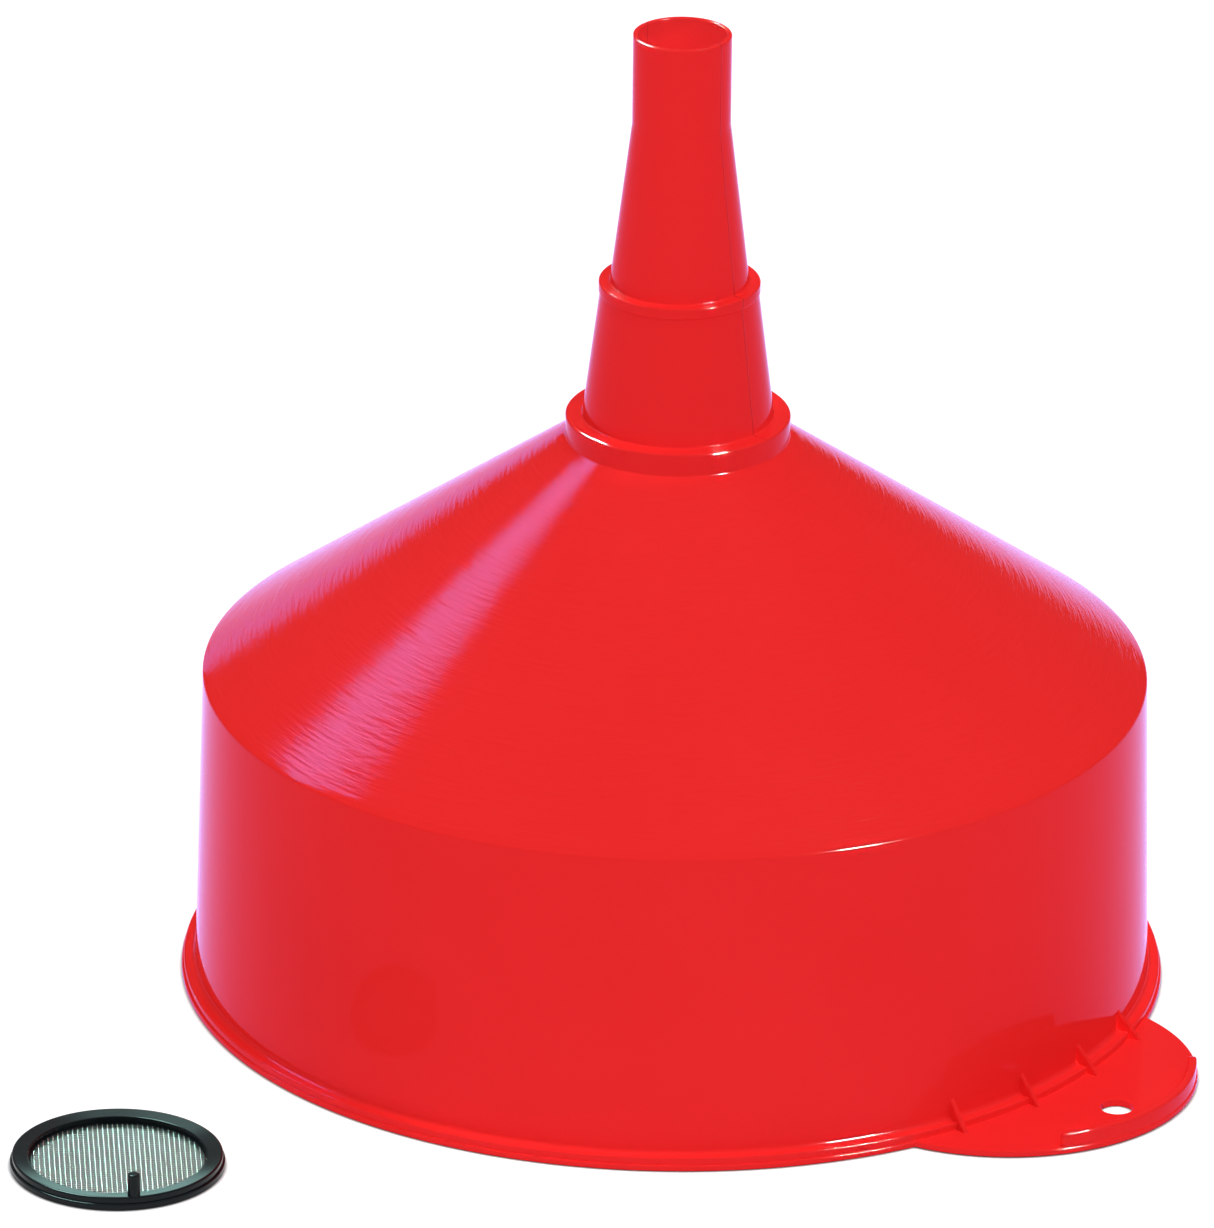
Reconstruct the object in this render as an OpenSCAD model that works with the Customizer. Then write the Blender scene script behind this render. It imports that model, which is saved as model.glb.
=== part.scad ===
// Filling funnel with a lift-out strainer, standing mouth down on its rim, with the
// strainer lying on the same surface beside it.
// The origin is on the funnel's axis in the plane of the rim, +Z towards the spout's tip.
// The strainer's seat is in the collar at the bottom of the cone: turning the strainer half
// a turn about seat_axis_point() brings it there, upside down.

/* [Bowl] */
// Outside radius of the rim flange
rim_r = 120; // [60:0.5:200]
// Height of the rim flange
rim_h = 3.3; // [2:0.1:8]
// Height of the flange's lower step
step_h = 1.5; // [1:0.1:4]
// Set-back of the flange above the lower step
rim_step = 0.5; // [0:0.1:2]
// Outside radius of the wall where it meets the flange
wall_foot_r = 116.6; // [50:0.1:190]
// Outside radius of the wall at the shoulder
shoulder_r = 114.8; // [50:0.1:190]
// Height of the shoulder
shoulder_z = 78.6; // [30:0.1:150]
// Thickness of the walls
wall_t = 1.6; // [1:0.1:4]

/* [Collar and spout] */
// Outside radius of the collar round the strainer's seat
collar_r = 27.2; // [15:0.1:60]
// Height of the collar's foot on the cone
collar_foot_z = 140.2; // [80:0.1:250]
// Height of the collar's top face
collar_z = 145.8; // [80:0.1:260]
// Outside radius of the neck at the collar
neck_foot_r = 23.1; // [12:0.1:50]
// Outside radius of the neck under its bead
neck_top_r = 19.15; // [10:0.1:45]
// Outside radius of the bead at the top of the neck
bead_r = 19.5; // [10:0.1:45]
// Height of the bead's underside
bead_z = 177.4; // [100:0.1:300]
// Height of the ledge above the bead
ledge_z = 180.2; // [100:0.1:300]
// Outside radius of the spout's taper at the ledge
spout_foot_r = 16.75; // [8:0.05:40]
// Outside radius of the straight tip
tip_r = 11.85; // [5:0.05:30]
// Height where the taper becomes the straight tip
tip_foot_z = 220.5; // [120:0.1:350]
// Height of the tip's end
tip_z = 243.3; // [130:0.1:380]
// Thickness of the neck and of the spout's taper
neck_t = 1.4; // [0.8:0.1:3]
// Thickness of the straight tip
tip_t = 1.25; // [0.8:0.05:3]

/* [Hanging lug] */
// Thickness of the lug's plate
plate_t = 1.5; // [1:0.1:4]
// Height of the plate's underside above the rim's face
plate_z = 0.1; // [0:0.05:2]
// Direction of the lug, in degrees from +X
lug_az = -38.4; // [-180:0.1:180]
// Distance from the funnel's axis to the centre of the lug's round edge
lug_centre = 101.5; // [60:0.5:150]
// Radius of the lug's round edge
lug_r = 47.3; // [20:0.1:80]
// Height of the top of the raised lip
lip_z = 5.3; // [2:0.1:15]
// Thickness of the raised lip
lip_t = 2.2; // [1:0.1:5]
// Set-back of the lip from the lug's edge
lip_inset = 0.3; // [0:0.1:2]
// Angle that the lip covers on the lug's edge, clockwise from the lug's centre line
lip_angle_cw = 35; // [10:0.5:90]
// Angle that the lip covers on the lug's edge, anticlockwise from the lug's centre line
lip_angle_ccw = 39.5; // [10:0.5:90]
// Distance from the funnel's axis to the hanging hole
hole_at = 136.2; // [100:0.1:200]
// Radius of the hanging hole
hole_r = 4.0; // [2:0.1:10]
// Angle between neighbouring gussets
gusset_step = 11; // [5:0.5:20]
// Thickness of a gusset
gusset_t = 1.2; // [0.8:0.1:3]
// Height that a gusset reaches on the wall
gusset_z = 8.4; // [4:0.1:20]
// Distance from the wall to a gusset's outer end
gusset_l = 6; // [2:0.1:15]

/* [Strainer] */
// Outside radius of the strainer ring's foot
ring_r = 25.6; // [15:0.1:50]
// Height of the top face's outer edge
ring_h = 3.2; // [2:0.1:8]
// Height of the step round the outside of the ring
ring_step_z = 1.6; // [0.8:0.1:3]
// Outside radius above the step
ring_top_r = 25.1; // [14:0.1:50]
// Radius of the opening in the top face
ring_inner_r = 21.2; // [10:0.1:45]
// Fall of the dished top face from its outer to its inner edge
dish = 0.45; // [0:0.05:1]
// Radius of the opening below the ledge, where the foot holds the wires
foot_inner_r = 20.65; // [9:0.05:44]
// Height of the ledge inside the ring
ledge_h = 1.5; // [0.8:0.1:4]
// Direction of the lift peg, in degrees from +X
peg_az = -78.5; // [-180:0.1:180]
// Distance from the ring's centre to the lift peg
peg_at = 23.5; // [12:0.1:46]
// Radius of the lift peg at its foot
peg_r = 1.5; // [0.8:0.1:4]
// Radius of the rounded edge of the lift peg's flat top
peg_edge = 0.4; // [0.1:0.1:0.6]
// Height of the lift peg's top
peg_z = 8.6; // [5:0.1:20]
// Distance between neighbouring wires
wire_pitch = 1.2; // [0.7:0.05:3]
// Radius of a wire
wire_r = 0.21; // [0.1:0.01:0.25]
// Height of the centres of the lower layer of wires
wire_z = 0.76; // [0.4:0.01:1]
// Gap between the two layers of wires
wire_gap = 0.02; // [0.01:0.01:0.1]
// Radius at which the wires end, inside the ring's foot
wire_end_r = 21.6; // [10:0.1:45]
// Direction of the lower wires, in degrees from +X
weave_az = 4; // [-45:1:45]

/* [Where the strainer lies and sits] */
// Distance from the funnel's axis to the strainer
strainer_at = 177.5; // [150:0.5:300]
// Direction from the funnel's axis to the strainer, in degrees from +X
strainer_az = -137.8; // [-180:0.1:180]
// Radial clearance of the strainer in its seat
seat_gap = 0.3; // [0.05:0.05:1]
// Clearance between the strainer and the shelf that it sits against
shelf_gap = 0.2; // [0:0.05:1]

/* [Output] */
// Sub-part to draw

/* [Hidden] */
$fn = 96;
RED = [0.86, 0.05, 0.06];
BLACK = [0.03, 0.03, 0.035];
STEEL = [0.70, 0.71, 0.72];

// Slope of the cone: radius lost for each millimetre of height.
cone_slope = (shoulder_r - collar_r) / (collar_foot_z - shoulder_z);
// Wall thickness measured level, through the sloping cone.
cone_t = wall_t * sqrt(1 + cone_slope * cone_slope);
// Slope of the bowl's upright wall, which leans in towards the shoulder.
wall_slope = (wall_foot_r - shoulder_r) / (shoulder_z - rim_h);
mouth_r = wall_foot_r - wall_t;
// Inner corner under the shoulder, where the wall's and the cone's inner faces meet.
corner_z = (shoulder_r - cone_t - mouth_r + cone_slope * shoulder_z - wall_slope * rim_h)
    / (cone_slope - wall_slope);
corner_r = mouth_r - wall_slope * (corner_z - rim_h);
// The strainer's seat: a straight recess in the collar that ends at a shelf.
seat_r = ring_r + seat_gap;
seat_foot_z = shoulder_z + (shoulder_r - cone_t - seat_r) / cone_slope;
shelf_z = collar_z - neck_t;
throat_z = ledge_z - neck_t;
spout_r = tip_r - tip_t;
// Point on the level axis about which half a turn takes the strainer to its seat.
function seat_axis_point() = [
    strainer_at / 2 * cos(strainer_az),
    strainer_at / 2 * sin(strainer_az),
    (shelf_z - shelf_gap) / 2
];

// Points of an arc round centre c, from angle a0 to a1, for rounded and filleted corners.
function arc(c, r, a0, a1, n = 4) =
    [for (i = [0:n]) c + r * [cos(a0 + (a1 - a0) * i / n), sin(a0 + (a1 - a0) * i / n)]];

// Half section of the bowl, collar, neck and spout: up the outside, then down the inside.
function funnel_section() = concat(
    [[mouth_r, 0]],
    arc([rim_r - 0.4, 0.4], 0.4, -90, 0),
    arc([rim_r - 0.4, step_h - 0.4], 0.4, 0, 90),
    arc([rim_r - rim_step - 0.4, rim_h - 0.4], 0.4, 0, 90),
    arc([wall_foot_r + 1.2, rim_h + 1.2], 1.2, 270, 180),
    arc([shoulder_r - 0.8, shoulder_z - 0.6], 0.8, 4, 52, 5),
    [[collar_r - 0.1, collar_foot_z]],
    arc([collar_r - 0.5, collar_z - 0.5], 0.5, 0, 90),
    arc([neck_foot_r + 0.5, collar_z + 0.5], 0.5, 270, 180),
    [[neck_top_r, bead_z]],
    arc([bead_r - 0.35, bead_z + 0.35], 0.35, -90, 0),
    arc([bead_r - 0.4, ledge_z - 0.4], 0.4, 0, 90),
    arc([spout_foot_r + 0.4, ledge_z + 0.4], 0.4, 270, 180),
    [[tip_r, tip_foot_z]],
    arc([tip_r - 0.35, tip_z - 0.35], 0.35, 0, 90),
    [
        [spout_r, tip_z],
        [spout_r, tip_foot_z],
        [spout_foot_r - neck_t, throat_z],
        [neck_top_r - neck_t, throat_z],
        [neck_foot_r - neck_t, shelf_z],
        [seat_r, shelf_z],
        [seat_r, seat_foot_z],
        [corner_r, corner_z],
        [mouth_r, rim_h]
    ]
);

// Disc with softly rounded edges, for the lug's plate.
module rounded_plate(r, t) {
    rotate_extrude()
        polygon(concat(
            [[0, 0]],
            arc([r - 0.4, 0.4], 0.4, -90, 0),
            arc([r - 0.4, t - 0.4], 0.4, 0, 90),
            [[0, t]]
        ));
}

// Raised lip along the lug's outer edge.
module lug_lip() {
    outer = lug_r - lip_inset;
    foot = plate_z + plate_t - 0.5;
    rotate([0, 0, -lip_angle_cw])
        rotate_extrude(angle = lip_angle_cw + lip_angle_ccw)
            polygon(concat(
                [[outer - lip_t, foot], [outer, foot]],
                arc([outer - 0.6, lip_z - 0.6], 0.6, 0, 90),
                arc([outer - lip_t + 0.6, lip_z - 0.6], 0.6, 90, 180)
            ));
}

// Triangular gusset between the bowl's wall and the lug, in the plane y = 0.
module gusset() {
    translate([0, gusset_t / 2, 0])
        rotate([90, 0, 0])
            linear_extrude(gusset_t)
                polygon([
                    [wall_foot_r - wall_t / 2, plate_z + plate_t / 2],
                    [wall_foot_r + gusset_l, plate_z + plate_t / 2],
                    [wall_foot_r + gusset_l, plate_z + plate_t],
                    [wall_foot_r - 0.1, gusset_z],
                    [wall_foot_r - wall_t / 2, gusset_z]
                ]);
}

// Flat hanging lug on the rim, with its lip, hole and four gussets.
module lug() {
    difference() {
        translate([lug_centre, 0, 0]) {
            translate([0, 0, plate_z])
                rounded_plate(lug_r, plate_t);
            lug_lip();
        }
        translate([0, 0, -1])
            cylinder(r = wall_foot_r - wall_t / 2, h = lip_z + 2);
        translate([hole_at, 0, -1])
            cylinder(r = hole_r, h = plate_t + 2);
    }
    for (k = [-1.5, -0.5, 0.5, 1.5])
        rotate([0, 0, k * gusset_step])
            gusset();
}

// One-piece moulding: rim, bowl, cone, collar, neck, spout and lug.
module funnel_body() {
    color(RED) {
        rotate_extrude()
            polygon(funnel_section());
        rotate([0, 0, lug_az])
            lug();
    }
}

// Half section of the strainer's ring: stepped outside, dished top face and inner ledge.
function ring_section() = concat(
    [[foot_inner_r, 0]],
    arc([ring_r - 0.3, 0.3], 0.3, -90, 0),
    arc([ring_r - 0.3, ring_step_z - 0.3], 0.3, 0, 90),
    [[ring_top_r, ring_step_z]],
    arc([ring_top_r - 0.4, ring_h - 0.4], 0.4, 0, 90),
    arc([ring_inner_r + 0.3, ring_h - dish - 0.3], 0.3, 90, 180),
    [[ring_inner_r, ledge_h], [foot_inner_r, ledge_h]]
);

// Moves what is drawn round the origin to where the strainer lies.
module at_strainer() {
    rotate([0, 0, strainer_az])
        translate([strainer_at, 0, 0])
            rotate([0, 0, -strainer_az])
                children();
}

// Moulded strainer ring with its upright lift peg.
module strainer_frame() {
    color(BLACK)
        at_strainer() {
            rotate_extrude()
                polygon(ring_section());
            rotate([0, 0, peg_az])
                translate([peg_at, 0, 0])
                    rotate_extrude()
                        polygon(concat(
                            [[0, ring_h - 1], [peg_r, ring_h - 1]],
                            arc([peg_r - peg_edge - 0.05, peg_z - peg_edge], peg_edge, 0, 90),
                            [[0, peg_z]]
                        ));
        }
}

// One layer of parallel wires along X, with their ends on a circle inside the ring's foot.
module wire_layer(z) {
    last = floor(foot_inner_r / wire_pitch - 0.5);
    for (i = [-last - 1:last]) {
        y = (i + 0.5) * wire_pitch;
        half = sqrt(wire_end_r * wire_end_r - y * y);
        translate([-half, y, z])
            rotate([0, 90, 0])
                cylinder(r = wire_r, h = 2 * half, $fn = 24);
    }
}

// Lower wires of the strainer's mesh.
module warp_wires() {
    color(STEEL)
        at_strainer()
            rotate([0, 0, weave_az])
                wire_layer(wire_z);
}

// Upper wires of the strainer's mesh, square to the lower ones.
module weft_wires() {
    color(STEEL)
        at_strainer()
            rotate([0, 0, weave_az + 90])
                wire_layer(wire_z + 2 * wire_r + wire_gap);
}

funnel_body();
strainer_frame();
warp_wires();
weft_wires();
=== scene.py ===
import math

import bmesh
import bpy
from mathutils import Matrix, Vector


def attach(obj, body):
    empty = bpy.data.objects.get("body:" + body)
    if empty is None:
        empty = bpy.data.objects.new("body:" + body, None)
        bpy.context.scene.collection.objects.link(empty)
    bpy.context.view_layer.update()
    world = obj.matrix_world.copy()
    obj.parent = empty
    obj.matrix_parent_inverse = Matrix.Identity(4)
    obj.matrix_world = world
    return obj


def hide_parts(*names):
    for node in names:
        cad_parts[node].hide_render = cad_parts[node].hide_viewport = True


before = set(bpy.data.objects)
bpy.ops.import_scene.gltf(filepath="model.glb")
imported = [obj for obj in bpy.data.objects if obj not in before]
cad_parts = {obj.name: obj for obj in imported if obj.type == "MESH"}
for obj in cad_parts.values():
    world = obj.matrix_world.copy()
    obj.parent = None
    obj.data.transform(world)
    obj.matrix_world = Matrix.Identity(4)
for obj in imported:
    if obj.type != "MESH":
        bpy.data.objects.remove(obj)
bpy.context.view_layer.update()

# Driving dimensions, in millimetres and degrees, as in part.scad.
MM = 0.001

# Bowl
RIM_R, RIM_H, STEP_H, RIM_STEP = 120.0, 3.3, 1.5, 0.5
WALL_FOOT_R, SHOULDER_R, SHOULDER_Z, WALL_T = 116.6, 114.8, 78.6, 1.6

# Collar, neck and spout
COLLAR_R, COLLAR_FOOT_Z, COLLAR_Z = 27.2, 140.2, 145.8
NECK_FOOT_R, NECK_TOP_R = 23.1, 19.15
BEAD_R, BEAD_Z, LEDGE_Z = 19.5, 177.4, 180.2
SPOUT_FOOT_R, TIP_R, TIP_FOOT_Z, TIP_Z = 16.75, 11.85, 220.5, 243.3
NECK_T, TIP_T = 1.4, 1.25

# Hanging lug
LUG_AZ, LUG_CENTRE, LUG_R = -38.4, 101.5, 47.3
PLATE_T, PLATE_Z = 1.5, 0.1
LIP_Z, LIP_T, LIP_INSET, LIP_CW, LIP_CCW = 5.3, 2.2, 0.3, 35.0, 39.5
HOLE_AT, HOLE_R = 136.2, 4.0
GUSSET_STEP, GUSSET_T, GUSSET_Z, GUSSET_L = 11.0, 1.2, 8.4, 6.0

# Strainer
STRAINER_AT, STRAINER_AZ = 177.5, -137.8
RING_R, RING_H, RING_STEP_Z, RING_TOP_R = 25.6, 3.2, 1.6, 25.1
RING_INNER_R, DISH, FOOT_INNER_R, LEDGE_H = 21.2, 0.45, 20.65, 1.5
PEG_AZ, PEG_AT, PEG_R, PEG_EDGE, PEG_Z = -78.5, 23.5, 1.5, 0.4, 8.6
WIRE_PITCH, WIRE_R, WIRE_END_R, WEAVE_AZ = 1.2, 0.21, 21.6, 4.0
WARP_Z, WEFT_Z, CRIMP = 0.76, 1.20, 0.05
SEAT_GAP = 0.3

# Edge and fillet radii
EDGE_R, SHOULDER_EDGE_R, COLLAR_EDGE_R, LIP_EDGE_R = 0.4, 0.8, 0.5, 0.6
TIP_EDGE_R, TIP_BORE_EDGE_R, WALL_FILLET_R = 0.35, 0.25, 1.2
RING_EDGE_R, RING_FOOT_EDGE_R = 0.3, 0.15

# Segments in a full turn, and the angle above which an edge stays sharp
SHELL_SEGMENTS, LUG_SEGMENTS, HOLE_SEGMENTS, RING_SEGMENTS, PEG_SEGMENTS = 288, 240, 64, 192, 48
TURNED_SHARP, LUG_SHARP, WIRE_SHARP = 35, 40, 60

# Derived
CONE_SLOPE = (SHOULDER_R - COLLAR_R) / (COLLAR_FOOT_Z - SHOULDER_Z)
CONE_T = WALL_T * math.hypot(1, CONE_SLOPE)
WALL_SLOPE = (WALL_FOOT_R - SHOULDER_R) / (SHOULDER_Z - RIM_H)
MOUTH_R = WALL_FOOT_R - WALL_T
CORNER_RUN = SHOULDER_R - CONE_T - MOUTH_R + CONE_SLOPE * SHOULDER_Z - WALL_SLOPE * RIM_H
CORNER_Z = CORNER_RUN / (CONE_SLOPE - WALL_SLOPE)
CORNER_R = MOUTH_R - WALL_SLOPE * (CORNER_Z - RIM_H)
SEAT_R = RING_R + SEAT_GAP
SEAT_FOOT_Z = SHOULDER_Z + (SHOULDER_R - CONE_T - SEAT_R) / CONE_SLOPE
SHELF_Z = COLLAR_Z - NECK_T
THROAT_Z = LEDGE_Z - NECK_T
SPOUT_R = TIP_R - TIP_T


# ---------------------------------------------------------------- mesh helpers

def arc(r, z, radius, a0, a1, n=6):
    """Points of a rounded or filleted corner of a half section."""
    angles = [math.radians(a0 + (a1 - a0) * i / n) for i in range(n + 1)]
    return [(r + radius * math.cos(a), z + radius * math.sin(a)) for a in angles]


def with_support(outline, margin=0.35, longest=12.0):
    """Adds points near the ends of each straight run, so that it keeps its own normals, and along it."""
    points = []
    for i, (r0, z0) in enumerate(outline):
        r1, z1 = outline[(i + 1) % len(outline)]
        length = math.hypot(r1 - r0, z1 - z0)
        points.append((r0, z0))
        if length < 3 * margin or max(r0, r1) < 1e-6:
            continue
        parts = max(1, math.ceil((length - 2 * margin) / longest))
        stops = [margin + (length - 2 * margin) * k / parts for k in range(parts + 1)]
        points.extend((r0 + (r1 - r0) * s / length, z0 + (z1 - z0) * s / length) for s in stops)
    return points


def revolve(bm, outline, segments, centre=(0.0, 0.0)):
    """Adds the closed half section, revolved round a vertical axis, to bm."""
    rings = []
    for r, z in outline:
        if r < 1e-6:
            rings.append([bm.verts.new((centre[0] * MM, centre[1] * MM, z * MM))] * segments)
            continue
        ring = []
        for j in range(segments):
            a = math.tau * j / segments
            x, y = centre[0] + r * math.cos(a), centre[1] + r * math.sin(a)
            ring.append(bm.verts.new((x * MM, y * MM, z * MM)))
        rings.append(ring)
    for i, low in enumerate(rings):
        high = rings[(i + 1) % len(rings)]
        for j in range(segments):
            k = (j + 1) % segments
            corners = list(dict.fromkeys((low[j], low[k], high[k], high[j])))
            if len(corners) > 2:
                bm.faces.new(corners)


def sweep(bm, sections):
    """Adds a closed solid through equal rings of points, given in millimetres."""
    rings = [[bm.verts.new(Vector(p) * MM) for p in section] for section in sections]
    count = len(rings[0])
    for low, high in zip(rings, rings[1:]):
        for j in range(count):
            k = (j + 1) % count
            bm.faces.new((low[j], low[k], high[k], high[j]))
    bm.faces.new(list(reversed(rings[0])))
    bm.faces.new(rings[-1])


def finish_mesh(bm, name, sharp=LUG_SHARP):
    """Turns bm into an object with smooth faces and sharp edges above the given angle."""
    bmesh.ops.recalc_face_normals(bm, faces=bm.faces)
    mesh = bpy.data.meshes.new(name)
    bm.to_mesh(mesh)
    bm.free()
    mesh.polygons.foreach_set("use_smooth", [True] * len(mesh.polygons))
    mesh.set_sharp_from_angle(angle=math.radians(sharp))
    piece = bpy.data.objects.new(name, mesh)
    bpy.context.scene.collection.objects.link(piece)
    return piece


def combine(base, others, operation):
    """Applies an exact boolean of each other object to base, and removes the others."""
    for other in others:
        modifier = base.modifiers.new("cut", "BOOLEAN")
        modifier.operation = operation
        modifier.solver = "EXACT"
        modifier.object = other
        bpy.context.view_layer.update()
        mesh = bpy.data.meshes.new_from_object(base.evaluated_get(bpy.context.evaluated_depsgraph_get()))
        base.modifiers.clear()
        base.data = mesh
        bpy.data.objects.remove(other)


def weight_normals(piece, sharp):
    """Lets the large faces lead the shading, so that flat faces stay flat beside rounded edges."""
    piece.data.polygons.foreach_set("use_smooth", [True] * len(piece.data.polygons))
    piece.data.set_sharp_from_angle(angle=math.radians(sharp))
    modifier = piece.modifiers.new("weighted_normals", "WEIGHTED_NORMAL")
    modifier.keep_sharp = True
    modifier.weight = 80


# ---------------------------------------------------------------- node helpers

def material(name):
    """New node material: returns it, its node tree and its Principled shader."""
    mat = bpy.data.materials.new(name)
    mat.use_nodes = True
    tree = mat.node_tree
    return mat, tree, tree.nodes["Principled BSDF"]


def add(tree, kind, inputs=None, **settings):
    """Adds a node, sets its properties, and sets or links its inputs."""
    node = tree.nodes.new(kind)
    for key, value in settings.items():
        setattr(node, key, value)
    for key, value in (inputs or {}).items():
        if isinstance(value, bpy.types.NodeSocket):
            tree.links.new(value, node.inputs[key])
        else:
            node.inputs[key].default_value = value
    return node


def calc(tree, operation, a, b=0.0, c=0.0):
    """Output of a math node."""
    return add(tree, "ShaderNodeMath", {0: a, 1: b, 2: c}, operation=operation).outputs[0]


def vector_calc(tree, operation, a, b=(0, 0, 0)):
    """Output of a vector math node: a number for a dot product or a length, or else a vector."""
    node = add(tree, "ShaderNodeVectorMath", {0: a, 1: b}, operation=operation)
    return node.outputs["Value" if operation in ("DOT_PRODUCT", "LENGTH") else "Vector"]


def band(tree, value, low, high):
    """Smooth ramp from 0 at low to 1 at high."""
    inputs = {"Value": value, "From Min": low, "From Max": high}
    return add(tree, "ShaderNodeMapRange", inputs, interpolation_type="SMOOTHSTEP").outputs["Result"]


def noise(tree, vector, scale, detail=3.0):
    """Noise from 0 to 1. Scale is in features per metre."""
    inputs = {"Vector": vector, "Scale": scale, "Detail": detail}
    return add(tree, "ShaderNodeTexNoise", inputs).outputs["Fac"]


def bump(tree, height, distance, strength=1.0, under=None):
    """Normal tilted by a height of up to distance metres, over another bumped normal if given."""
    inputs = {"Height": height, "Distance": distance, "Strength": strength}
    if under is not None:
        inputs["Normal"] = under
    return add(tree, "ShaderNodeBump", inputs).outputs["Normal"]


def mix_colour(tree, factor, a, b):
    """Colour a at factor 0, b at factor 1."""
    node = add(tree, "ShaderNodeMix", {0: factor, 6: a, 7: b}, data_type="RGBA")
    return node.outputs[2]


# ---------------------------------------------------------------- materials

RED_DEEP, RED_CLEAR = (0.85, 0.020, 0.020, 1), (0.89, 0.024, 0.025, 1)
# The glow colour and glow strength here are a painted glow inside the tip, standing in for light through
# the thin wall.
RED_SEAM, PAINTED_GLOW_RED = (0.30, 0.004, 0.006, 1), (0.85, 0.07, 0.08, 1)
RED_IOR, PAINTED_TIP_GLOW = 1.08, 0.18
SEAM_EDGE, SEAM_CORE, SEAM_DARKNESS = 0.25, 0.08, 0.35
BLACK_DEEP, BLACK_GREY, BLACK_IOR = (0.002, 0.004, 0.005, 1), (0.006, 0.010, 0.012, 1), 1.24
# Warp and weft are the same steel: the warp's dark colours are painted shade, the weft's bright colours
# are painted light.
WARP_PAINTED_SHADE_DULL, WARP_PAINTED_SHADE_BRIGHT = (0.05, 0.09, 0.08, 1), (0.11, 0.16, 0.14, 1)
WEFT_PAINTED_LIGHT_DULL, WEFT_PAINTED_LIGHT_BRIGHT = (0.62, 0.74, 0.69, 1), (0.82, 0.92, 0.87, 1)
PAPER_DULL, PAPER_BRIGHT = (0.38, 0.38, 0.38, 1), (0.40, 0.40, 0.40, 1)


def turning_marks(tree, position, height):
    """The mould's turning marks: noise drawn out round the axis, on the cone only."""
    def drawn_out(along, across, detail):
        scale = (along, along, across)
        return noise(tree, vector_calc(tree, "MULTIPLY", position, scale), 1.0, detail)

    fine = drawn_out(100.0, 1800.0, 3.0)
    coarse = drawn_out(50.0, 600.0, 2.0)
    marks = calc(tree, "MULTIPLY_ADD", fine, 0.75, calc(tree, "MULTIPLY", coarse, 0.25))
    above_shoulder = band(tree, height, (SHOULDER_Z - 0.5) * MM, (SHOULDER_Z + 1.5) * MM)
    below_collar = band(tree, height, COLLAR_FOOT_Z * MM, (COLLAR_FOOT_Z - 2) * MM)
    return calc(tree, "MULTIPLY", marks, calc(tree, "MULTIPLY", above_shoulder, below_collar))


def parting_line(tree, position, height):
    """The mould's parting line, in the lug's plane above the collar: 1 on the line, 0 beside it."""
    lug_az = math.radians(LUG_AZ)
    across = vector_calc(tree, "DOT_PRODUCT", position, (-math.sin(lug_az), math.cos(lug_az), 0))
    line = band(tree, calc(tree, "ABSOLUTE", across), SEAM_EDGE * MM, SEAM_CORE * MM)
    above_collar = band(tree, height, (COLLAR_Z - 0.3) * MM, (COLLAR_Z + 0.2) * MM)
    return calc(tree, "MULTIPLY", line, above_collar)


def painted_tip_glow(tree, position, height):
    """Painted glow inside the tip: an emission that stands in for light coming through the thin wall."""
    radius = vector_calc(tree, "LENGTH", vector_calc(tree, "MULTIPLY", position, (1, 1, 0)))
    inside = band(tree, radius, (SPOUT_R + 0.08) * MM, (SPOUT_R + 0.02) * MM)
    upper = band(tree, height, TIP_FOOT_Z * MM, (TIP_FOOT_Z + 12) * MM)
    return calc(tree, "MULTIPLY", calc(tree, "MULTIPLY", inside, upper), PAINTED_TIP_GLOW)


def red_plastic():
    """Glossy red polyethylene, with the mould's turning marks and parting line, and a painted glow
    inside the tip.
    """
    mat, tree, shader = material("red_polyethylene")
    position = add(tree, "ShaderNodeTexCoord").outputs["Object"]
    height = add(tree, "ShaderNodeSeparateXYZ", {0: position}).outputs[2]
    marks = turning_marks(tree, position, height)
    seam = parting_line(tree, position, height)
    waves = noise(tree, position, 16.0, 1.0)
    grain = noise(tree, position, 1600.0, 3.0)

    normal = bump(tree, waves, 0.0005, 0.6)
    normal = bump(tree, grain, 0.000006, 0.3, normal)
    normal = bump(tree, marks, 0.0002, 1.0, normal)
    normal = bump(tree, seam, 0.00006, 1.0, normal)
    tree.links.new(normal, shader.inputs["Normal"])

    cloud = noise(tree, position, 24.0, 2.0)
    colour = mix_colour(tree, cloud, RED_DEEP, RED_CLEAR)
    colour = mix_colour(tree, calc(tree, "MULTIPLY", seam, SEAM_DARKNESS), colour, RED_SEAM)
    tree.links.new(colour, shader.inputs["Base Color"])
    rough = calc(tree, "MULTIPLY_ADD", marks, 0.13, 0.05)
    rough = calc(tree, "MULTIPLY_ADD", cloud, 0.02, rough)
    tree.links.new(rough, shader.inputs["Roughness"])
    # Painted glow: emission inside the tip stands in for light through the wall.
    tree.links.new(painted_tip_glow(tree, position, height), shader.inputs["Emission Strength"])
    shader.inputs["Emission Color"].default_value = PAINTED_GLOW_RED
    shader.inputs["IOR"].default_value = RED_IOR
    return mat


def black_plastic():
    """Black moulded plastic, glossy, with a faint grain."""
    mat, tree, shader = material("black_plastic")
    position = add(tree, "ShaderNodeTexCoord").outputs["Object"]
    cloud = noise(tree, position, 140.0, 3.0)
    grain = noise(tree, position, 2600.0, 2.0)
    colour = mix_colour(tree, cloud, BLACK_DEEP, BLACK_GREY)
    tree.links.new(colour, shader.inputs["Base Color"])
    tree.links.new(calc(tree, "MULTIPLY_ADD", cloud, 0.10, 0.09), shader.inputs["Roughness"])
    tree.links.new(bump(tree, grain, 0.000008, 0.4), shader.inputs["Normal"])
    shader.inputs["IOR"].default_value = BLACK_IOR
    return mat


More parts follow.
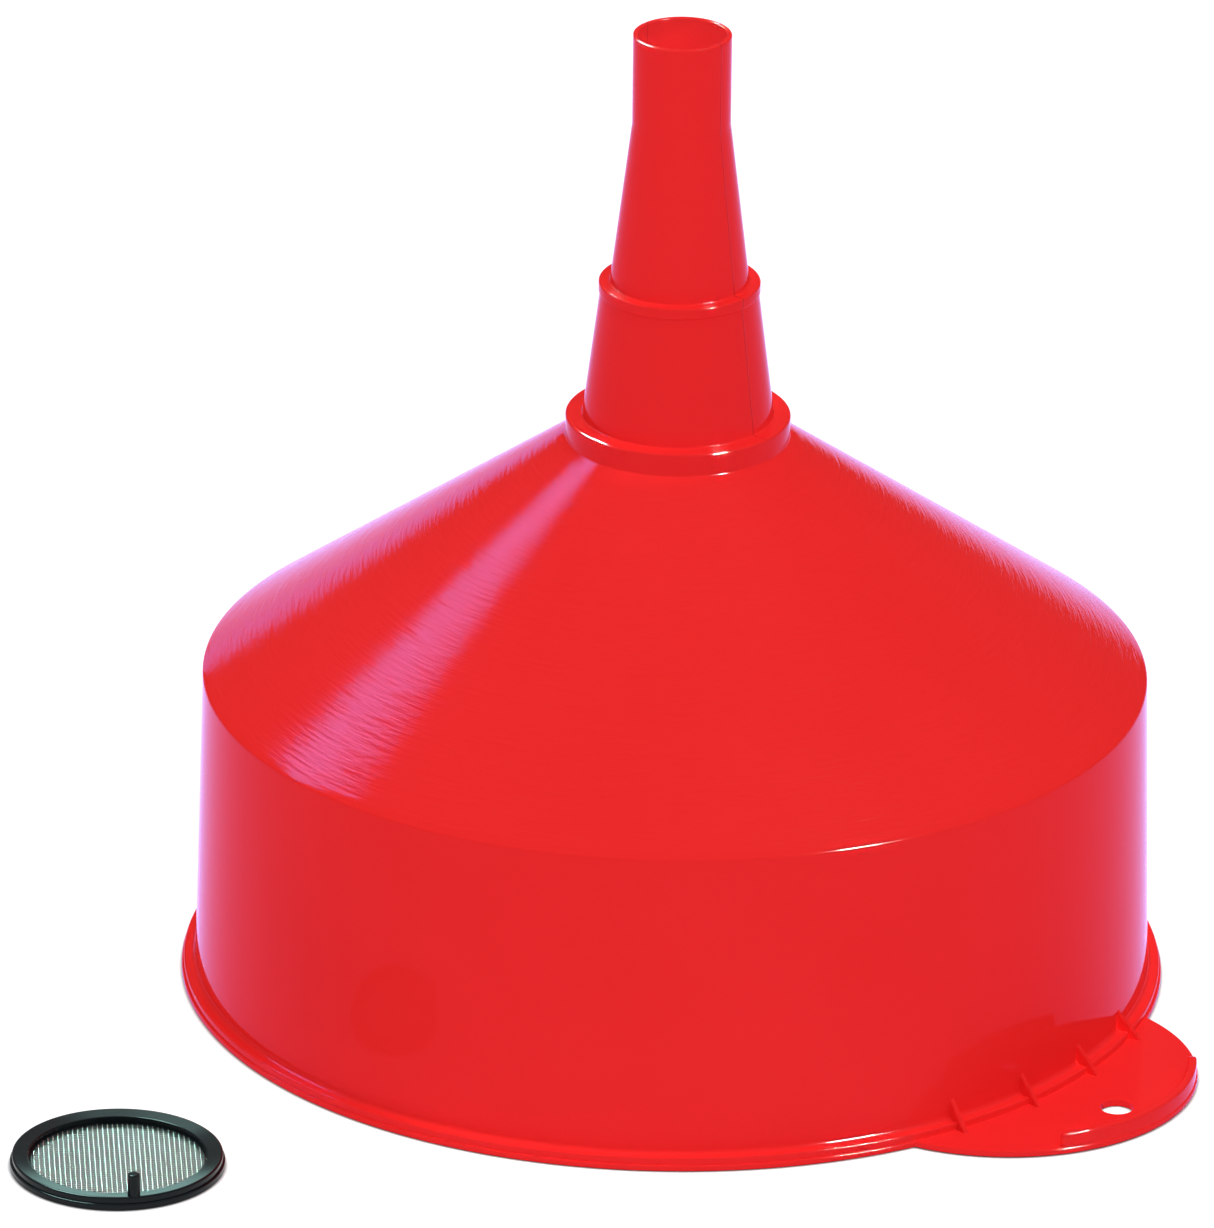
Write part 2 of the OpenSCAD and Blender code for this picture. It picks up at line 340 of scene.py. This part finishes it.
def steel_wire(name, dull, bright):
    """Drawn stainless wire, with fine scratches and a little tarnish."""
    mat, tree, shader = material(name)
    position = add(tree, "ShaderNodeTexCoord").outputs["Object"]
    cloud = noise(tree, position, 260.0, 3.0)
    scratch = noise(tree, position, 6000.0, 2.0)
    # Dull and bright are given per layer: the warp's are painted shade, the weft's are painted light.
    colour = mix_colour(tree, cloud, dull, bright)
    tree.links.new(colour, shader.inputs["Base Color"])
    tree.links.new(calc(tree, "MULTIPLY_ADD", cloud, 0.12, 0.12), shader.inputs["Roughness"])
    tree.links.new(bump(tree, scratch, 0.000004, 0.5), shader.inputs["Normal"])
    shader.inputs["Metallic"].default_value = 1.0
    return mat


def floor_paper():
    """Pale matt paper on a table, glowing evenly as if softly lit, with painted shade where the glow is
    dimmed under and close beside the pieces.
    """
    mat, tree, shader = material("floor_paper")
    position = add(tree, "ShaderNodeTexCoord").outputs["Object"]
    cloud = noise(tree, position, 3.0, 2.0)
    colour = mix_colour(tree, cloud, PAPER_DULL, PAPER_BRIGHT)
    tree.links.new(colour, shader.inputs["Base Color"])
    shader.inputs["Roughness"].default_value = 0.9
    shader.inputs["Specular IOR Level"].default_value = 0.1
    shader.inputs["Emission Color"].default_value = (1, 1, 1, 1)
    # Painted shade: ambient occlusion dims the floor's glow under the strainer and along the rim.
    painted_shade_ao = add(tree, "ShaderNodeAmbientOcclusion", {"Distance": PAINTED_SHADE_REACH}, samples=8).outputs["AO"]
    glow = calc(tree, "MULTIPLY", calc(tree, "POWER", painted_shade_ao, 2.0), FLOOR_GLOW)
    tree.links.new(glow, shader.inputs["Emission Strength"])
    return mat


# ---------------------------------------------------------------- funnel pieces

def funnel_shell():
    """Rim, bowl, cone, collar, neck and spout, in one revolved solid."""
    outline = [(MOUTH_R, 0)]
    outline += arc(RIM_R - EDGE_R, EDGE_R, EDGE_R, -90, 0)
    outline += arc(RIM_R - EDGE_R, STEP_H - EDGE_R, EDGE_R, 0, 90)
    outline += [(RIM_R - RIM_STEP, STEP_H)]
    outline += arc(RIM_R - RIM_STEP - EDGE_R, RIM_H - EDGE_R, EDGE_R, 0, 90)
    outline += arc(WALL_FOOT_R + WALL_FILLET_R, RIM_H + WALL_FILLET_R, WALL_FILLET_R, 270, 180, 8)
    outline += arc(SHOULDER_R - SHOULDER_EDGE_R, SHOULDER_Z - 0.6, SHOULDER_EDGE_R, 4, 52, 5)
    outline += arc(COLLAR_R + 0.3, COLLAR_FOOT_Z + 0.15, EDGE_R, 232, 180, 4)
    outline += arc(COLLAR_R - COLLAR_EDGE_R, COLLAR_Z - COLLAR_EDGE_R, COLLAR_EDGE_R, 0, 90)
    outline += arc(NECK_FOOT_R + COLLAR_EDGE_R, COLLAR_Z + COLLAR_EDGE_R, COLLAR_EDGE_R, 270, 180)
    outline += [(NECK_TOP_R, BEAD_Z)]
    outline += arc(BEAD_R - TIP_EDGE_R, BEAD_Z + TIP_EDGE_R, TIP_EDGE_R, -90, 0)
    outline += arc(BEAD_R - EDGE_R, LEDGE_Z - EDGE_R, EDGE_R, 0, 90)
    outline += arc(SPOUT_FOOT_R + EDGE_R, LEDGE_Z + EDGE_R, EDGE_R, 270, 180)
    outline += [(TIP_R, TIP_FOOT_Z)]
    outline += arc(TIP_R - TIP_EDGE_R, TIP_Z - TIP_EDGE_R, TIP_EDGE_R, 0, 90)
    outline += arc(SPOUT_R + TIP_BORE_EDGE_R, TIP_Z - TIP_BORE_EDGE_R, TIP_BORE_EDGE_R, 90, 180, 4)
    outline += [
        (SPOUT_R, TIP_FOOT_Z),
        (SPOUT_FOOT_R - NECK_T, THROAT_Z),
        (NECK_TOP_R - NECK_T, THROAT_Z),
        (NECK_FOOT_R - NECK_T, SHELF_Z),
        (SEAT_R, SHELF_Z),
        (SEAT_R, SEAT_FOOT_Z),
        (CORNER_R, CORNER_Z),
        (MOUTH_R, RIM_H),
    ]
    bm = bmesh.new()
    revolve(bm, with_support(outline), SHELL_SEGMENTS)
    return finish_mesh(bm, "funnel_shell", TURNED_SHARP)


def lug_lip():
    """Raised lip along the lug's outer edge, rounded off at both ends."""
    outer = LUG_R - LIP_INSET
    foot = PLATE_Z + PLATE_T - 0.5
    section = [(outer - LIP_T, foot), (outer, foot)]
    section += arc(outer - LIP_EDGE_R, LIP_Z - LIP_EDGE_R, LIP_EDGE_R, 0, 90)
    section += arc(outer - LIP_T + LIP_EDGE_R, LIP_Z - LIP_EDGE_R, LIP_EDGE_R, 90, 180)
    middle = outer - LIP_T / 2
    end = math.degrees(LIP_T / 2 / middle)
    start, stop = end - LIP_CW, LIP_CCW - end
    taper = [math.radians(a) for a in (80, 60, 40, 20)]
    stations = [(start - end * math.sin(t), math.cos(t)) for t in taper]
    stations += [(start + (stop - start) * k / 72, 1.0) for k in range(73)]
    stations += [(stop + end * math.sin(t), math.cos(t)) for t in reversed(taper)]
    sections = []
    for azimuth, width in stations:
        a = math.radians(azimuth)
        tall = 0.72 + 0.28 * width
        ring = []
        for r, z in section:
            radius = middle + (r - middle) * width
            x, y = LUG_CENTRE + radius * math.cos(a), radius * math.sin(a)
            ring.append((x, y, foot + (z - foot) * tall))
        sections.append(ring)
    bm = bmesh.new()
    sweep(bm, sections)
    return finish_mesh(bm, "lug_lip")


def gusset(azimuth):
    """Triangular gusset between the wall and the lug, with softened edges."""
    profile = [
        (WALL_FOOT_R - WALL_T / 2, PLATE_Z + PLATE_T / 2),
        (WALL_FOOT_R + GUSSET_L, PLATE_Z + PLATE_T / 2),
        (WALL_FOOT_R + GUSSET_L, PLATE_Z + PLATE_T),
        (WALL_FOOT_R - 0.1, GUSSET_Z),
        (WALL_FOOT_R - WALL_T / 2, GUSSET_Z),
    ]
    bm = bmesh.new()
    sweep(bm, [[(x, -GUSSET_T / 2, z) for x, z in profile], [(x, GUSSET_T / 2, z) for x, z in profile]])
    side_edges = [e for e in bm.edges if abs(e.verts[0].co.y - e.verts[1].co.y) < 1e-9]
    bmesh.ops.bevel(bm, geom=side_edges, offset=0.2 * MM, segments=3, affect="EDGES")
    bmesh.ops.rotate(bm, verts=bm.verts, matrix=Matrix.Rotation(math.radians(azimuth), 3, "Z"))
    return finish_mesh(bm, "gusset")


def cylinder(x, radius, z0, z1, segments):
    """Plain upright cylinder on the X axis, for cutting."""
    bm = bmesh.new()
    revolve(bm, [(0, z0), (radius, z0), (radius, z1), (0, z1)], segments, (x, 0))
    return finish_mesh(bm, "cutter")


def hanging_lug():
    """Flat lug with its lip, hanging hole and four gussets, let into the bowl's wall."""
    top = PLATE_Z + PLATE_T
    outline = [(0, PLATE_Z)]
    outline += arc(LUG_R - EDGE_R, PLATE_Z + EDGE_R, EDGE_R, -90, 0)
    outline += arc(LUG_R - EDGE_R, top - EDGE_R, EDGE_R, 0, 90)
    outline += [(0, top)]
    bm = bmesh.new()
    revolve(bm, outline, LUG_SEGMENTS, (LUG_CENTRE, 0))
    lug = finish_mesh(bm, "hanging_lug")
    combine(lug, [lug_lip()], "UNION")
    combine(lug, [cylinder(0, WALL_FOOT_R - WALL_T / 2, -1, LIP_Z + 2, SHELL_SEGMENTS)], "DIFFERENCE")
    combine(lug, [cylinder(HOLE_AT, HOLE_R, -1, LIP_Z + 2, HOLE_SEGMENTS)], "DIFFERENCE")
    combine(lug, [gusset(k * GUSSET_STEP) for k in (-1.5, -0.5, 0.5, 1.5)], "UNION")
    lug.data.transform(Matrix.Rotation(math.radians(LUG_AZ), 4, "Z"))
    weight_normals(lug, LUG_SHARP)
    return lug


# ---------------------------------------------------------------- strainer pieces

def strainer_centre():
    """Where the strainer's axis meets the bench, in millimetres."""
    az = math.radians(STRAINER_AZ)
    return Vector((STRAINER_AT * math.cos(az), STRAINER_AT * math.sin(az), 0))


def strainer_ring():
    """Moulded ring with a stepped outside, dished top face, inner ledge and upright lift peg."""
    centre = strainer_centre()
    outline = arc(FOOT_INNER_R + RING_FOOT_EDGE_R, RING_FOOT_EDGE_R, RING_FOOT_EDGE_R, 180, 270, 3)
    outline += arc(RING_R - RING_EDGE_R, RING_EDGE_R, RING_EDGE_R, -90, 0)
    outline += arc(RING_R - RING_EDGE_R, RING_STEP_Z - RING_EDGE_R, RING_EDGE_R, 0, 90)
    outline += [(RING_TOP_R, RING_STEP_Z)]
    outline += arc(RING_TOP_R - EDGE_R, RING_H - EDGE_R, EDGE_R, 0, 90)
    outline += arc(RING_INNER_R + RING_EDGE_R, RING_H - DISH - RING_EDGE_R, RING_EDGE_R, 90, 180)
    outline += [(RING_INNER_R, LEDGE_H), (FOOT_INNER_R, LEDGE_H)]
    bm = bmesh.new()
    revolve(bm, with_support(outline, 0.12, 3.0), RING_SEGMENTS, centre[:2])
    ring = finish_mesh(bm, "strainer_ring", TURNED_SHARP)
    az = math.radians(PEG_AZ)
    foot = (centre.x + PEG_AT * math.cos(az), centre.y + PEG_AT * math.sin(az))
    peg_outline = [(0, RING_H - 1.2), (PEG_R, RING_H - 1.2)]
    peg_outline += arc(PEG_R - PEG_EDGE - 0.05, PEG_Z - PEG_EDGE, PEG_EDGE, 0, 90, 5)
    peg_outline += [(0, PEG_Z)]
    bm = bmesh.new()
    revolve(bm, peg_outline, PEG_SEGMENTS, foot)
    combine(ring, [finish_mesh(bm, "peg", TURNED_SHARP)], "UNION")
    weight_normals(ring, TURNED_SHARP)
    return ring


def crimped_wires(name, azimuth, height, crimp):
    """One layer of round wires, bowed by crimp at the crossings, where their centres are at height."""
    sides, steps_per_pitch = 8, 6
    centre = strainer_centre() + Vector((0, 0, height - crimp))
    turn = Matrix.Rotation(math.radians(azimuth), 3, "Z")
    last = math.floor(FOOT_INNER_R / WIRE_PITCH - 0.5)
    bm = bmesh.new()
    for i in range(-last - 1, last + 1):
        y = (i + 0.5) * WIRE_PITCH
        half = math.sqrt(WIRE_END_R ** 2 - y ** 2)
        count = max(8, round(2 * half / WIRE_PITCH * steps_per_pitch))
        sections = []
        for k in range(count + 1):
            x = -half + 2 * half * k / count
            phase = math.tau * (x / WIRE_PITCH - 0.5)
            z = crimp * math.cos(phase)
            slope = -crimp * math.sin(phase) * math.tau / WIRE_PITCH
            up = Vector((-slope, 0, 1)).normalized()
            ring = []
            for j in range(sides):
                a = math.tau * j / sides
                p = Vector((x, y, z)) + WIRE_R * (math.cos(a) * Vector((0, 1, 0)) + math.sin(a) * up)
                ring.append(centre + turn @ p)
            sections.append(ring)
        sweep(bm, sections)
    return finish_mesh(bm, name, WIRE_SHARP)


def warp_wires():
    """Lower layer, across the view, bowed down under the weft."""
    return crimped_wires("crimped_warp", WEAVE_AZ, WARP_Z, -CRIMP)


def weft_wires():
    """Upper layer, square to the warp and bowed up over it."""
    return crimped_wires("crimped_weft", WEAVE_AZ + 90, WEFT_Z, CRIMP)


# ---------------------------------------------------------------- stage

MIDDLE = Vector((0, 0, 0.11))
IMAGE_H = 1228
FOCAL_PX = 14000
CAMERA_PITCH, CAMERA_ROLL = 22.93, -0.58
CAMERA_AT = (-0.01664, -3.12890, 1.41643)
# The last value is the reach, in metres, of the painted shade on the floor's glow.
FLOOR_HALF, FLOOR_DROP, FLOOR_GLOW, PAINTED_SHADE_REACH = 14.0, 0.0001, 0.82, 0.0009
SHEEN_SIZE, SHEEN_Z = 8, 0.0003
HIGHLIGHT_DISTANCE = 1.5
SKY_LOW, SKY_HIGH, SKY_POWER = 0.10, 1.15, 1.8
WHITE, TEAL = (1.0, 1.0, 1.0), (0.55, 1.0, 0.93)
LAVENDER, BLUE = (0.05, 0.33, 1.0), (0.0, 0.0, 1.0)


def add_camera():
    """Long lens from in front, looking down at the funnel, level but for a slight roll."""
    pitch, roll = math.radians(CAMERA_PITCH), math.radians(CAMERA_ROLL)
    forward = Vector((0, math.cos(pitch), -math.sin(pitch)))
    level, down = Vector((1, 0, 0)), Vector((0, -math.sin(pitch), -math.cos(pitch)))
    right = math.cos(roll) * level + math.sin(roll) * down
    up = math.sin(roll) * level - math.cos(roll) * down
    data = bpy.data.cameras.new("camera")
    data.sensor_width = 36
    data.lens = data.sensor_width * FOCAL_PX / IMAGE_H
    data.clip_end = 30
    camera = bpy.data.objects.new("camera", data)
    turn = Matrix((right, up, -forward)).transposed().to_4x4()
    camera.matrix_world = Matrix.Translation(CAMERA_AT) @ turn
    bpy.context.scene.collection.objects.link(camera)
    bpy.context.scene.camera = camera


def add_floor():
    """Bench of pale paper, just under the rim and the strainer's foot."""
    mesh = bpy.data.meshes.new("floor")
    s = FLOOR_HALF
    mesh.from_pydata([(-s, -s, 0), (s, -s, 0), (s, s, 0), (-s, s, 0)], [], [(0, 1, 2, 3)])
    mesh.materials.append(floor_paper())
    floor = bpy.data.objects.new("floor", mesh)
    floor.location.z = -FLOOR_DROP
    bpy.context.scene.collection.objects.link(floor)


def around(azimuth, elevation, distance):
    """Point seen from the funnel's middle. Azimuth 0 is the camera's side, positive to the right."""
    a, e = math.radians(azimuth), math.radians(elevation)
    direction = Vector((math.sin(a) * math.cos(e), -math.cos(a) * math.cos(e), math.sin(e)))
    return MIDDLE + distance * direction


def add_softbox(
    name, location, aim, size, radiance, colour=WHITE, diffuse=True, glossy=True, only=None,
):
    """Rectangular light, aimed at a point. With only, it lights that group of pieces alone."""
    data = bpy.data.lights.new(name, "AREA")
    data.shape = "RECTANGLE"
    data.size, data.size_y = size
    data.energy = radiance * math.pi * size[0] * size[1]
    data.color = colour
    light = bpy.data.objects.new(name, data)
    light.location = location
    light.rotation_euler = (aim - location).to_track_quat("-Z", "Y").to_euler()
    light.visible_camera = False
    light.visible_diffuse = diffuse
    light.visible_glossy = glossy
    if only:
        light.light_linking.receiver_collection = LIT[only]
    bpy.context.scene.collection.objects.link(light)


def add_highlight(name, azimuth, elevation, size, radiance, only, colour=WHITE):
    """Softbox that shows only as a reflection, and only on one group of pieces."""
    place = around(azimuth, elevation, HIGHLIGHT_DISTANCE)
    add_softbox(name, place, MIDDLE, size, radiance, colour, diffuse=False, only=only)


def add_world():
    """White dome, brightest overhead and dim at the horizon."""
    world = bpy.data.worlds.new("studio")
    world.use_nodes = True
    tree = world.node_tree
    direction = add(tree, "ShaderNodeTexCoord").outputs["Generated"]
    height = add(tree, "ShaderNodeSeparateXYZ", {0: direction}).outputs[2]
    rise = calc(tree, "POWER", calc(tree, "MAXIMUM", height, 0.0), SKY_POWER)
    strength = calc(tree, "MULTIPLY_ADD", rise, SKY_HIGH, SKY_LOW)
    tree.links.new(strength, tree.nodes["Background"].inputs["Strength"])
    tree.nodes["Background"].inputs["Color"].default_value = (1, 1, 1, 1)
    bpy.context.scene.world = world


# ---------------------------------------------------------------- the scene

add_camera()
bpy.context.scene.view_settings.view_transform = "Standard"

RED = red_plastic()
BLACK = black_plastic()
# Shaded and lit copies of one steel: the dark warp is painted shade, the bright weft is painted light.
WARP_WIRE_PAINTED_SHADE = steel_wire("warp_wire", WARP_PAINTED_SHADE_DULL, WARP_PAINTED_SHADE_BRIGHT)
WEFT_WIRE_PAINTED_LIGHT = steel_wire("weft_wire", WEFT_PAINTED_LIGHT_DULL, WEFT_PAINTED_LIGHT_BRIGHT)

# Piece, material, body, replaced node, slot, group of lights
PIECES = (
    (funnel_shell(), RED, "funnel", "funnel_body", "funnel_body", "funnel"),
    (hanging_lug(), RED, "funnel", "funnel_body", "funnel_body", "funnel"),
    (strainer_ring(), BLACK, "strainer", "strainer_frame", "strainer_frame", "ring"),
    (warp_wires(), WARP_WIRE_PAINTED_SHADE, "strainer", "warp_wires", "strainer_wire", "wires"),
    (weft_wires(), WEFT_WIRE_PAINTED_LIGHT, "strainer", "weft_wires", "strainer_wire", "wires"),
)
LIT = {group: bpy.data.collections.new("lit_" + group) for group in ("funnel", "ring", "wires")}
for piece, finish, body, node, slot, group in PIECES:
    piece.data.materials.clear()
    piece.data.materials.append(finish)
    LIT[group].objects.link(piece)
    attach(piece, body)
    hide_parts(node)

add_floor()
add_world()
add_softbox("overhead", around(0, 80, 1.6), MIDDLE, (1.5, 1.5), 0.95, glossy=False)
add_softbox("front_fill", around(0, 44, 2.0), MIDDLE, (1.6, 0.8), 0.9, glossy=False)
sheen_at, sheen_aim = Vector((0, 0, SHEEN_Z)), Vector((0, 0, 1))
sheen_size = (SHEEN_SIZE, SHEEN_SIZE)
add_softbox("floor_sheen", sheen_at, sheen_aim, sheen_size, 1.3, BLUE, diffuse=False, only="funnel")

# Name, azimuth, elevation, width and height in metres, radiance, pieces lit, colour
add_highlight("left_panel", -125, 42, (0.38, 0.36), 75, "funnel", LAVENDER)
add_highlight("left_low", -164, 4, (0.7, 0.24), 4.6, "funnel", LAVENDER)
add_highlight("left_strip", -165, 41.4, (0.2, 0.32), 2600, "funnel")
add_highlight("right_key", 50, 40, (0.3, 0.28), 6500, "funnel")
add_highlight("ring_back", -163, 36, (0.5, 0.26), 2.4, "ring", TEAL)
add_highlight("ring_front", -178, 9, (0.9, 0.3), 2.6, "ring", TEAL)
add_highlight("ring_edge", -111, 61, (0.9, 0.6), 60, "ring", TEAL)
add_highlight("wire_panel", -172, 23, (0.3, 0.3), 45, "wires", TEAL)
